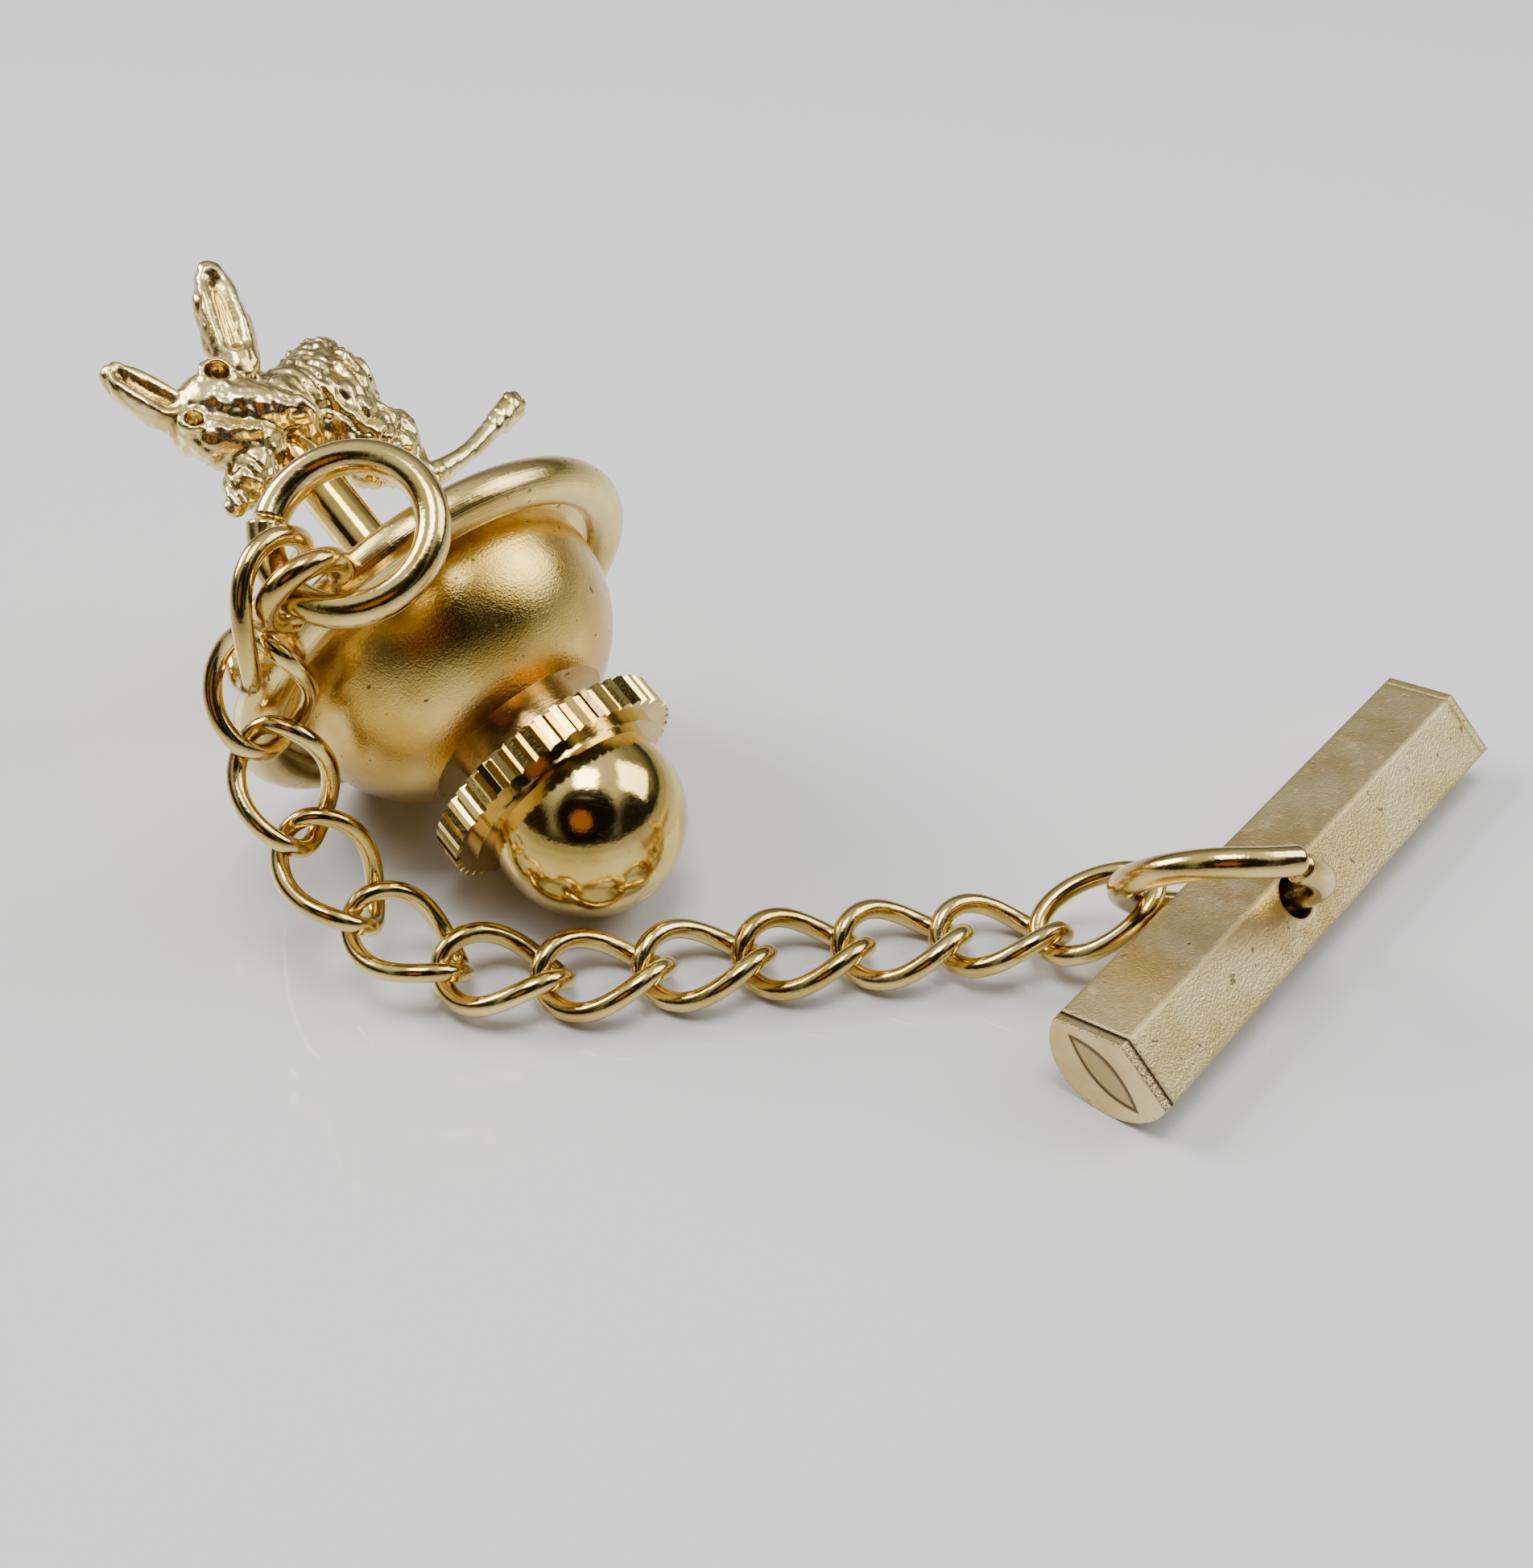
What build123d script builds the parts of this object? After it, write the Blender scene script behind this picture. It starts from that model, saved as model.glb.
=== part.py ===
"""A tie tack: a cast animal figure on a pin, held by a sprung clutch, with a safety chain and a T-bar.

Millimetres, +Z up. The tack lies on a flat surface at Z = 0, as it is put down after use: the clutch
rests on its rolled rim and its knurled ring, and the chain leads over the surface to the T-bar.
"""

from build123d import *
import math
import os

os.makedirs("parts", exist_ok=True)

# ---- driving dimensions -------------------------------------------------------------------------
FIT = 0.05  # radial running clearance

# clutch: lengths are measured along its axis from the flange, towards the knob
CLUTCH_CENTRE = Vector(-7.92, -0.28, 0)  # where the flange's middle stands over the surface
CLUTCH_HEADING = -46.0  # degrees from +X, seen from above
RIM_RADIUS = 4.95  # middle of the rolled rim
RIM_BEAD = 0.55
FLANGE_THICK = 0.3
POST_RADIUS = 0.6
DOME_BASE_RADIUS = 4.1
DOME_END_RADIUS = 2.35
DOME_LENGTH = 3.4
SHELL = 0.3
HOUSING_RADIUS = 2.1
CONE_SMALL = 1.26
CONE_LARGE = 1.75
CONE_START = 0.35
CONE_END = 2.0
BUSH_RADIUS = 1.6
BUSH_END = 4.2
NECK_RADIUS = 1.2
NECK_BORE = 0.72
CAGE_START = 0.6
CAGE_END = 1.6
CAGE_BORE = 0.66
BALL_RADIUS = 0.4
BALL_ORBIT = 1.04
BALL_PLACE = 1.1
COLLAR_THICK = 0.2
SPRING_WIRE = 0.1
SPRING_RADIUS = 1.42
SPRING_TURNS = 4
KNURL_RADIUS = 3.08
KNURL_START = 4.36
KNURL_END = 5.13
KNURL_TEETH = 46
KNURL_DEPTH = 0.16
SEAT_RADIUS = 2.6
SEAT_END = 5.33
KNOB_RADIUS = 2.32
KNOB_PLACE = 6.05
KNOB_BORE_END = 7.0
LUG_TURN = 135.0  # degrees round the rim from the level direction
LUG_PLACE = 5.985
LUG_RADIUS = 0.95
LUG_WIRE = 0.28
LUG_LIFT = 0.1

# pin
PIN_TIP = 5.6
PIN_TAPER = 0.9
PIN_FRONT = 6.2
GROOVE_PLACE = 4.2
GROOVE_DEPTH = 0.1

# chain
LINK_WIRE = 0.235
HUNG_WIRE = 0.215  # links 2 to 5, where the chain hangs steeply and bends
LINK_HALF_LENGTH = 1.44
LINK_HALF_WIDTH = 1.03
LINK_TWIST = -90.0
LINK_PLAY = 0.13
LINK_RUNS = 16
# heading, slope down and roll of links 2 to 11, in degrees, from the clutch to the bar
CHAIN_LAY = [
    (-79, 83, 0),
    (-56, 62, 3),
    (-35, 44, 4),
    (-19, 24.5, 1),
    (-7, 2, 0),
    (8, 0.5, 0),
    (10, 0, 0),
    (7, 0, 0),
    (9.5, -0.5, -1),
    (-1.5, -2.5, -10),
]
CHAIN_START = Vector(-11.004, -4.666, 7.566)

# jump rings
RING_1_CENTRE = Vector(-8.83, -3.51, 9.70)
RING_1_NORMAL = Vector(-0.092, -0.538, 0.838)
RING_1_RADIUS = 1.80
RING_1_WIRE = 0.385
RING_2_CENTRE = Vector(10.08, -6.71, 2.52)
RING_2_NORMAL = Vector(0, -0.819, -0.574)
RING_2_RADIUS = 2.15
RING_2_WIRE = 0.35
RING_GAP = 0.12

# T-bar
BAR_MIDDLE = Vector(12.08, -4.94, 0)
BAR_HEADING = 50.6
BAR_ROLL = -17.5
BAR_LENGTH = 15.8
BAR_HALF_WIDTH = 1.5
BAR_RIDGE = 1.05
BAR_CORNER = 0.35
BAR_BOTTOM = -1.1
BAR_WALL = 0.3
BAR_CAP = 0.3
BAR_PASSAGE = 0.55

# ---- frames -------------------------------------------------------------------------------------


def tilt_on_rim_and_ring():
    """The slope at which the rolled rim and the knurled ring's outer edge touch the surface together."""
    reach = math.hypot(KNURL_END, RIM_RADIUS - KNURL_RADIUS)
    lean = math.atan2(RIM_RADIUS - KNURL_RADIUS, KNURL_END)
    return lean + math.asin(RIM_BEAD / reach)


TILT = tilt_on_rim_and_ring()
HEADING = math.radians(CLUTCH_HEADING)
AXIS = Vector(
    math.cos(TILT) * math.cos(HEADING),
    math.cos(TILT) * math.sin(HEADING),
    -math.sin(TILT),
)
LEVEL = Vector(-math.sin(HEADING), math.cos(HEADING), 0)
RISE = AXIS.cross(LEVEL)
FLANGE = CLUTCH_CENTRE + Vector(0, 0, RIM_RADIUS * math.cos(TILT) + RIM_BEAD)

# in this plane x is the radius and y the length along the clutch's axis
TURNING = Plane(origin=FLANGE, x_dir=LEVEL, z_dir=LEVEL.cross(AXIS))
CLUTCH_AXIS = Axis(FLANGE, AXIS)


def across_clutch(length):
    """The plane square to the clutch's axis at a length along it."""
    return Plane(origin=FLANGE + AXIS * length, x_dir=LEVEL, z_dir=AXIS)


def finish(part, name):
    """Labels a finished piece and writes it."""
    part.label = name
    export_step(part, f"parts/{name}.step")


# ---- clutch: the pieces that stay with the flange -------------------------------------------------


def make_flange_plate():
    """The flat disc with its edge rolled into a round bead, and the hole for the pin."""
    with BuildPart() as flange_plate:
        with BuildSketch(TURNING):
            with BuildLine():
                Polyline(
                    (POST_RADIUS + FIT, -FLANGE_THICK / 2),
                    (RIM_RADIUS, -FLANGE_THICK / 2),
                    (RIM_RADIUS, FLANGE_THICK / 2),
                    (POST_RADIUS + FIT, FLANGE_THICK / 2),
                    close=True,
                )
            make_face()
            with Locations((RIM_RADIUS, 0)):
                Circle(RIM_BEAD)
        revolve(axis=CLUTCH_AXIS)
    finish(flange_plate.part, "flange_plate")


def lug_centre():
    """The middle of the chain lug's eye, just outside the rim."""
    turn = math.radians(LUG_TURN)
    outward = LEVEL * math.cos(turn) + RISE * math.sin(turn)
    return FLANGE + outward * LUG_PLACE - AXIS * LUG_LIFT


def make_chain_lug():
    """The wire eye soldered to the rim, which holds the first jump ring."""
    with BuildPart() as chain_lug:
        with BuildSketch(Plane(origin=lug_centre(), x_dir=LEVEL, z_dir=RISE)):
            with Locations((LUG_RADIUS, 0)):
                Circle(LUG_WIRE)
        revolve(axis=Axis(lug_centre(), AXIS))
    finish(chain_lug.part, "chain_lug")


def make_dome_shell():
    """The bowl behind the flange, with the hole that the neck comes out of."""
    base = FLANGE_THICK / 2
    belly = (DOME_BASE_RADIUS * 0.93, DOME_LENGTH * 0.55)
    inner_belly = (belly[0] - SHELL, belly[1] - SHELL / 3)
    with BuildPart() as dome_shell:
        with BuildSketch(TURNING):
            with BuildLine():
                ThreePointArc((DOME_BASE_RADIUS, base), belly, (DOME_END_RADIUS, DOME_LENGTH))
                Line((DOME_END_RADIUS, DOME_LENGTH), (BUSH_RADIUS, DOME_LENGTH))
                Line((BUSH_RADIUS, DOME_LENGTH), (BUSH_RADIUS, DOME_LENGTH - SHELL))
                Line(
                    (BUSH_RADIUS, DOME_LENGTH - SHELL),
                    (DOME_END_RADIUS - SHELL / 2, DOME_LENGTH - SHELL),
                )
                ThreePointArc(
                    (DOME_END_RADIUS - SHELL / 2, DOME_LENGTH - SHELL),
                    inner_belly,
                    (DOME_BASE_RADIUS - SHELL, base),
                )
                Line((DOME_BASE_RADIUS - SHELL, base), (DOME_BASE_RADIUS, base))
            make_face()
        revolve(axis=CLUTCH_AXIS)
    finish(dome_shell.part, "dome_shell")


def make_cone_housing():
    """The sleeve whose tapered bore squeezes the locking balls on to the pin."""
    base = FLANGE_THICK / 2
    end = DOME_LENGTH - SHELL
    with BuildPart() as cone_housing:
        with BuildSketch(TURNING):
            with BuildLine():
                Polyline(
                    (CONE_SMALL, base),
                    (HOUSING_RADIUS, base),
                    (HOUSING_RADIUS, end),
                    (CONE_LARGE, end),
                    (CONE_LARGE, CONE_END),
                    (CONE_SMALL, CONE_START),
                    close=True,
                )
            make_face()
        revolve(axis=CLUTCH_AXIS)
    finish(cone_housing.part, "cone_housing")


def turned_ring(name, inner, outer, start, end):
    """A plain turned ring on the clutch's axis."""
    with BuildPart() as ring:
        with BuildSketch(across_clutch(start)):
            Circle(outer)
            Circle(inner, mode=Mode.SUBTRACT)
        extrude(amount=end - start)
    finish(ring.part, name)


# ---- knob: the pieces that slide when the clutch is released ---------------------------------------


def make_ball_cage():
    """The sleeve round the pin with three windows for the locking balls."""
    with BuildPart() as ball_cage:
        with BuildSketch(across_clutch(CAGE_START)):
            Circle(NECK_RADIUS)
            Circle(CAGE_BORE, mode=Mode.SUBTRACT)
        extrude(amount=CAGE_END - CAGE_START)
        with Locations(across_clutch(BALL_PLACE)):
            with PolarLocations(0, 3):
                Cylinder(
                    BALL_RADIUS + FIT / 2,
                    NECK_RADIUS + 1,
                    rotation=(0, 90, 0),
                    align=(Align.CENTER, Align.CENTER, Align.MIN),
                    mode=Mode.SUBTRACT,
                )
    finish(ball_cage.part, "ball_cage")


def make_locking_balls():
    """Three balls, one in each window of the cage."""
    with BuildPart() as locking_balls:
        with Locations(across_clutch(BALL_PLACE)):
            with PolarLocations(BALL_ORBIT, 3):
                Sphere(BALL_RADIUS)
    finish(locking_balls.part, "locking_balls")


def make_release_spring():
    """The coil spring that pushes the cage up its taper."""
    start = CAGE_END + COLLAR_THICK + SPRING_WIRE + 0.02
    height = DOME_LENGTH - SHELL - SPRING_WIRE - 0.02 - start
    with BuildPart() as release_spring:
        with BuildLine():
            coil = Helix(
                pitch=height / SPRING_TURNS,
                height=height,
                radius=SPRING_RADIUS,
                center=FLANGE + AXIS * start,
                direction=AXIS,
            )
        with BuildSketch(Plane(origin=coil @ 0, z_dir=coil % 0)):
            Circle(SPRING_WIRE)
        sweep(is_frenet=True)
    finish(release_spring.part, "release_spring")


def make_knurled_ring():
    """The finger grip: a disc with V-shaped teeth cut round its edge."""
    step = 360 / KNURL_TEETH
    crest = step * 0.22
    outline = []
    for tooth in range(KNURL_TEETH):
        for radius, turn in (
            (KNURL_RADIUS, -crest),
            (KNURL_RADIUS, crest),
            (KNURL_RADIUS - KNURL_DEPTH, step / 2),
        ):
            at = math.radians(tooth * step + turn)
            outline.append((radius * math.cos(at), radius * math.sin(at)))
    with BuildPart() as knurled_ring:
        with BuildSketch(across_clutch(KNURL_START)):
            with BuildLine():
                Polyline(*outline, close=True)
            make_face()
            Circle(NECK_RADIUS, mode=Mode.SUBTRACT)
        extrude(amount=KNURL_END - KNURL_START)
    finish(knurled_ring.part, "knurled_ring")


def make_knob_ball():
    """The round end of the knob, with a blind hole for the tip of the pin."""
    base = SEAT_END
    waist = math.sqrt(KNOB_RADIUS**2 - (KNOB_PLACE - base) ** 2)
    with BuildPart() as knob_ball:
        with BuildSketch(TURNING):
            with BuildLine():
                Line((NECK_BORE, base), (waist, base))
                ThreePointArc(
                    (waist, base), (KNOB_RADIUS, KNOB_PLACE), (0, KNOB_PLACE + KNOB_RADIUS)
                )
                Line((0, KNOB_PLACE + KNOB_RADIUS), (0, KNOB_BORE_END))
                Line((0, KNOB_BORE_END), (NECK_BORE, KNOB_BORE_END))
                Line((NECK_BORE, KNOB_BORE_END), (NECK_BORE, base))
            make_face()
        revolve(axis=CLUTCH_AXIS)
    finish(knob_ball.part, "knob_ball")


# ---- pin -------------------------------------------------------------------------------------------


def make_pin_post():
    """The pointed pin with its locking groove."""
    groove = POST_RADIUS - GROOVE_DEPTH
    with BuildPart() as pin_post:
        with BuildSketch(TURNING):
            with BuildLine():
                Polyline(
                    (0, -PIN_FRONT),
                    (POST_RADIUS, -PIN_FRONT),
                    (POST_RADIUS, GROOVE_PLACE - 2 * GROOVE_DEPTH),
                    (groove, GROOVE_PLACE - GROOVE_DEPTH),
                    (groove, GROOVE_PLACE + GROOVE_DEPTH),
                    (POST_RADIUS, GROOVE_PLACE + 2 * GROOVE_DEPTH),
                    (POST_RADIUS, PIN_TIP - PIN_TAPER),
                    (0.08, PIN_TIP),
                    (0, PIN_TIP),
                    close=True,
                )
            make_face()
        revolve(axis=CLUTCH_AXIS)
    finish(pin_post.part, "pin_post")


def on_figure(up, along, side):
    """A place on the figure: up is away from the flange, along is level, side is square to both."""
    return FLANGE - AXIS * up + LEVEL * along + RISE * side


def figure_limb(start, end, start_radius, end_radius):
    """A tapering limb with round ends, added to the part being built."""
    line = end - start
    with BuildSketch(Plane(origin=start, z_dir=line)) as near:
        Circle(start_radius)
    with BuildSketch(Plane(origin=end, z_dir=line)) as far:
        Circle(end_radius)
    loft([near.sketch, far.sketch])
    with Locations(Location(start)):
        Sphere(start_radius)
    with Locations(Location(end)):
        Sphere(end_radius)


def make_animal_figure():
    """The cast figure of a small long-eared fox, drilled for the pin."""
    with BuildPart() as animal_figure:
        figure_limb(on_figure(6.9, 0.1, -0.2), on_figure(7.3, 2.3, -0.5), 1.45, 1.35)
        figure_limb(on_figure(5.2, 2.1, -0.4), on_figure(7.0, 1.6, -0.4), 1.2, 1.4)
        figure_limb(on_figure(7.5, -1.3, 0.5), on_figure(7.0, -0.9, 0.4), 1.15, 1.15)
        figure_limb(on_figure(7.2, -0.9, 0.6), on_figure(6.1, 0.45, 1.15), 0.95, 0.3)
        figure_limb(on_figure(6.6, -1.9, 0.7), on_figure(6.0, -1.0, 0.5), 0.75, 0.9)
        figure_limb(on_figure(8.3, -0.1, 0.6), on_figure(10.95, 0.7, 1.15), 0.62, 0.28)
        figure_limb(on_figure(7.6, -2.1, 0.6), on_figure(9.3, -2.95, 0.8), 0.58, 0.28)
        figure_limb(on_figure(6.2, -1.1, 0.3), on_figure(4.85, -2.45, 0.5), 0.85, 0.22)
        figure_limb(on_figure(4.7, 2.6, -0.5), on_figure(3.95, 2.9, -0.5), 0.7, 0.4)
        figure_limb(on_figure(3.95, 2.9, -0.5), on_figure(5.05, 6.3, -0.5), 0.3, 0.42)
        with BuildSketch(across_clutch(-PIN_FRONT)):
            Circle(POST_RADIUS)
        extrude(amount=PIN_FRONT, mode=Mode.SUBTRACT)
    finish(animal_figure.part, "animal_figure")


# ---- chain -----------------------------------------------------------------------------------------


def direction(heading, slope):
    """A unit vector from a heading and a downward slope in degrees."""
    h, s = math.radians(heading), math.radians(slope)
    return Vector(math.cos(s) * math.cos(h), math.cos(s) * math.sin(h), -math.sin(s))


def link_plane(centre, heading, slope, roll):
    """A link's own plane: x along it, z up out of its flat side before it is rolled."""
    along = direction(heading, slope)
    up = Vector(0, 0, 1) - along * along.Z
    up = up.rotate(Axis((0, 0, 0), along), roll)
    return Plane(origin=centre, x_dir=along, z_dir=up)


def make_link(name, plane, half_length, half_width, twist, wire):
    """One curb link: an oval of round wire twisted about its long axis, in short mitred runs."""
    lean = math.radians(twist) / 2
    corners = []
    for step in range(LINK_RUNS):
        turn = 2 * math.pi * (step + 0.5) / LINK_RUNS
        along, across = half_length * math.cos(turn), half_width * math.sin(turn)
        bend = lean * along / half_length
        at = Vector(along, across * math.cos(bend), across * math.sin(bend))
        corners.append(plane.from_local_coords(at))
    middle = LINK_RUNS // 2
    nose = (corners[-1] + corners[0]) * 0.5
    tail = (corners[middle - 1] + corners[middle]) * 0.5
    with BuildPart() as link:
        for outline in ([nose, *corners[:middle], tail], [tail, *corners[middle:], nose]):
            with BuildLine():
                half = Polyline(*outline)
            with BuildSketch(Plane(origin=half @ 0, z_dir=half % 0)):
                Circle(wire)
            sweep(transition=Transition.RIGHT)
    finish(link.part, name)


def make_chain():
    """The twelve links. The first and last are slightly opened up to take the jump rings."""
    first = link_plane(Vector(-10.795, -4.264, 8.274), -150.4, 65.0, 34.4)
    make_link("link_01", first, 1.763, 1.406, -62.0, 0.23)
    reach = LINK_HALF_LENGTH - LINK_WIRE - LINK_PLAY / 2
    start = CHAIN_START
    for number, (heading, slope, roll) in enumerate(CHAIN_LAY, 2):
        along = direction(heading, slope)
        plane = link_plane(start + along * reach, heading, slope, roll)
        wire = HUNG_WIRE if number < 6 else LINK_WIRE
        make_link(
            f"link_{number:02d}", plane, LINK_HALF_LENGTH, LINK_HALF_WIDTH, LINK_TWIST, wire
        )
        start = start + along * 2 * reach
    last = link_plane(Vector(7.531, -6.199, 1.299), 17.1, -25.4, 179.5)
    make_link("link_12", last, 1.487, 0.994, -18.4, LINK_WIRE)


def make_jump_ring(name, centre, normal, radius, wire, cut_turn):
    """A ring of round wire with a saw cut across it at cut_turn degrees."""
    level = normal.cross(Vector(0, 0, 1)).normalized()
    across = normal.cross(level).normalized()
    turn = math.radians(cut_turn)
    outward = level * math.cos(turn) + across * math.sin(turn)
    with BuildPart() as jump_ring:
        with BuildSketch(Plane(origin=centre, x_dir=outward, z_dir=outward.cross(normal))):
            with Locations((radius, 0)):
                Circle(wire)
        revolve(axis=Axis(centre, normal), revolution_arc=360 - math.degrees(RING_GAP / radius))
    finish(jump_ring.part, name)


# ---- T-bar -----------------------------------------------------------------------------------------


def bar_plane(length):
    """The plane square to the bar at a length from its middle: x across, y towards its ridge."""
    along = direction(BAR_HEADING, 0)
    level = Vector(along.Y, -along.X, 0)
    roll = math.radians(BAR_ROLL)
    across = level * math.cos(roll) + Vector(0, 0, 1) * math.sin(roll)
    centre = BAR_MIDDLE + Vector(0, 0, BAR_RISE) + along * length
    return Plane(origin=centre, x_dir=across, z_dir=along * -1)


BAR_RISE = 1.12  # the bar's axis over the surface, with its rounded side down


def bar_section(inset=0.0):
    """The bar's outline: two flat facets that meet in a ridge, over a rounded bottom."""
    with BuildLine() as outline:
        Polyline(
            (-BAR_HALF_WIDTH + inset, BAR_CORNER - inset / 3),
            (0, BAR_RIDGE - inset * 1.1),
            (BAR_HALF_WIDTH - inset, BAR_CORNER - inset / 3),
        )
        ThreePointArc(
            (BAR_HALF_WIDTH - inset, BAR_CORNER - inset / 3),
            (0, BAR_BOTTOM + inset),
            (-BAR_HALF_WIDTH + inset, BAR_CORNER - inset / 3),
        )
    make_face(outline.line.edges())


def make_bar_tube():
    """The hollow bar, with the passage that the jump ring goes through."""
    half = BAR_LENGTH / 2 - BAR_CAP
    with BuildPart() as bar_tube:
        with BuildSketch(bar_plane(half)):
            bar_section()
        extrude(amount=2 * half)
        with BuildSketch(bar_plane(half)):
            bar_section(BAR_WALL)
        extrude(amount=2 * half, mode=Mode.SUBTRACT)
        with BuildSketch(Plane(origin=RING_2_CENTRE, x_dir=(1, 0, 0), z_dir=RING_2_NORMAL.cross(Vector(1, 0, 0)))):
            with Locations((RING_2_RADIUS, 0)):
                Circle(BAR_PASSAGE)
        revolve(axis=Axis(RING_2_CENTRE, RING_2_NORMAL), mode=Mode.SUBTRACT)
    finish(bar_tube.part, "bar_tube")


def make_bar_caps():
    """The two plates that close the bar's ends."""
    for name, length in (("bar_cap_near", -BAR_LENGTH / 2 + BAR_CAP), ("bar_cap_far", BAR_LENGTH / 2)):
        with BuildPart() as bar_cap:
            with BuildSketch(bar_plane(length)):
                bar_section()
            extrude(amount=BAR_CAP)
        finish(bar_cap.part, name)


make_flange_plate()
make_chain_lug()
make_dome_shell()
make_cone_housing()
turned_ring("neck_bush", NECK_RADIUS + FIT, BUSH_RADIUS, DOME_LENGTH - SHELL, BUSH_END)
make_ball_cage()
make_locking_balls()
turned_ring("spring_collar", NECK_RADIUS, SPRING_RADIUS + SPRING_WIRE, CAGE_END, CAGE_END + COLLAR_THICK)
make_release_spring()
turned_ring("neck_tube", NECK_BORE, NECK_RADIUS, CAGE_END, KNURL_END)
make_knurled_ring()
turned_ring("knob_seat", NECK_BORE, SEAT_RADIUS, KNURL_END, SEAT_END)
make_knob_ball()
make_pin_post()
make_animal_figure()
make_jump_ring("jump_ring_1", RING_1_CENTRE, RING_1_NORMAL, RING_1_RADIUS, RING_1_WIRE, 20)
make_chain()
make_jump_ring("jump_ring_2", RING_2_CENTRE, RING_2_NORMAL, RING_2_RADIUS, RING_2_WIRE, 300)
make_bar_tube()
make_bar_caps()
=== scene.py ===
import math

import bpy
from mathutils import Matrix, Vector, noise


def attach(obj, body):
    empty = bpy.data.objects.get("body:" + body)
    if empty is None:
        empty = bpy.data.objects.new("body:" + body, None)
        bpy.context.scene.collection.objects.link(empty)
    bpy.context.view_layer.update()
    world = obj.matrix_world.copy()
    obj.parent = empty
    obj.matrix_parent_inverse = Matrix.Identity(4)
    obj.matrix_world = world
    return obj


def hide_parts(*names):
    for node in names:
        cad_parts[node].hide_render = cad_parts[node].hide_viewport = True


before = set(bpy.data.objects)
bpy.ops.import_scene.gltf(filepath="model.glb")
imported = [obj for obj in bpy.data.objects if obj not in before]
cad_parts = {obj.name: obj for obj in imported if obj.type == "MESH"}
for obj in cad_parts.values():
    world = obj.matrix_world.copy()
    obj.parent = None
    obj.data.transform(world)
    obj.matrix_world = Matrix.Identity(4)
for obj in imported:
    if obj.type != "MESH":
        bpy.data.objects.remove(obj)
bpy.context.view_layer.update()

MM = 0.001
IN_MM = (1 / MM,) * 3

# ---- the object's own frames, as in the CAD, in millimetres ----------------------------------

# clutch: its flange's middle, its axis towards the knob, and the level direction across it
RIM_RADIUS = 4.95
RIM_BEAD = 0.55
KNURL_END = 5.13
KNURL_RADIUS = 3.08
HEADING = math.radians(-46.0)
STEP_DOWN = RIM_RADIUS - KNURL_RADIUS
TILT = math.atan2(STEP_DOWN, KNURL_END) + math.asin(RIM_BEAD / math.hypot(KNURL_END, STEP_DOWN))
AXIS = Vector(
    (math.cos(TILT) * math.cos(HEADING), math.cos(TILT) * math.sin(HEADING), -math.sin(TILT))
)
LEVEL = Vector((-math.sin(HEADING), math.cos(HEADING), 0))
RISE = AXIS.cross(LEVEL)
FLANGE = Vector((-7.92, -0.28, RIM_RADIUS * math.cos(TILT) + RIM_BEAD))

# bar: its middle, its length's direction and the directions across its section
BAR_HEADING = math.radians(50.6)
BAR_ROLL = math.radians(-17.5)
BAR_ALONG = Vector((math.cos(BAR_HEADING), math.sin(BAR_HEADING), 0))
BAR_LEVEL = Vector((BAR_ALONG.y, -BAR_ALONG.x, 0))
BAR_ACROSS = BAR_LEVEL * math.cos(BAR_ROLL) + Vector((0, 0, 1)) * math.sin(BAR_ROLL)
BAR_UP = BAR_ACROSS.cross(BAR_ALONG)
BAR_MIDDLE = Vector((12.08, -4.94, 1.12))
BAR_LENGTH = 15.8

# chain: heading, slope down and roll of links 2 to 11 in degrees, as in the CAD. These angles are
# a placement search's result, rounded, and weren't chosen by hand.
CHAIN_START = Vector((-11.004, -4.666, 7.566))
CHAIN_LAY = [
    (-79, 83, 0),
    (-56, 62, 3),
    (-35, 44, 4),
    (-19, 24.5, 1),
    (-7, 2, 0),
    (8, 0.5, 0),
    (10, 0, 0),
    (7, 0, 0),
    (9.5, -0.5, -1),
    (-1.5, -2.5, -10),
]
LINK_REACH = 1.14
LINK_HALF_LENGTH = 1.44
LINK_HALF_WIDTH = 1.03
LINK_TWIST = -90.0
LINK_WIRE = 0.235
HUNG_WIRE = 0.215


# ---- node materials --------------------------------------------------------------------------


class Graph:
    """Adds shader nodes to a tree in short lines."""

    def __init__(self, tree):
        self.tree = tree

    def put(self, socket, value):
        if isinstance(value, bpy.types.NodeSocket):
            self.tree.links.new(value, socket)
        else:
            socket.default_value = value

    def add(self, kind, inputs=None, out=0, **settings):
        node = self.tree.nodes.new(kind)
        for key, value in settings.items():
            setattr(node, key, value)
        for key, value in (inputs or {}).items():
            self.put(node.inputs[key], value)
        return node.outputs[out] if node.outputs else None

    def math(self, operation, a, b=0.0, clamp=False):
        return self.add("ShaderNodeMath", {0: a, 1: b}, operation=operation, use_clamp=clamp)

    def vector(self, operation, a, b=(0, 0, 0), out=0):
        return self.add("ShaderNodeVectorMath", {0: a, 1: b}, out=out, operation=operation)

    def step(self, value, low, high, start=0.0, end=1.0):
        """A smooth step of value from start to end as it goes from low to high."""
        return self.add(
            "ShaderNodeMapRange",
            {0: value, 1: low, 2: high, 3: start, 4: end},
            interpolation_type="SMOOTHSTEP",
        )

    def mix(self, share, a, b):
        return self.add("ShaderNodeMix", {0: share, 6: a, 7: b}, out=2, data_type="RGBA")

    def noise(self, at, scale, detail=2.0, rough=0.5):
        return self.add(
            "ShaderNodeTexNoise",
            {"Vector": at, "Scale": scale, "Detail": detail, "Roughness": rough},
        )

    def join(self, x, y, z):
        return self.add("ShaderNodeCombineXYZ", {0: x, 1: y, 2: z})


def colour(red, green, blue):
    return (red, green, blue, 1.0)


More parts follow.
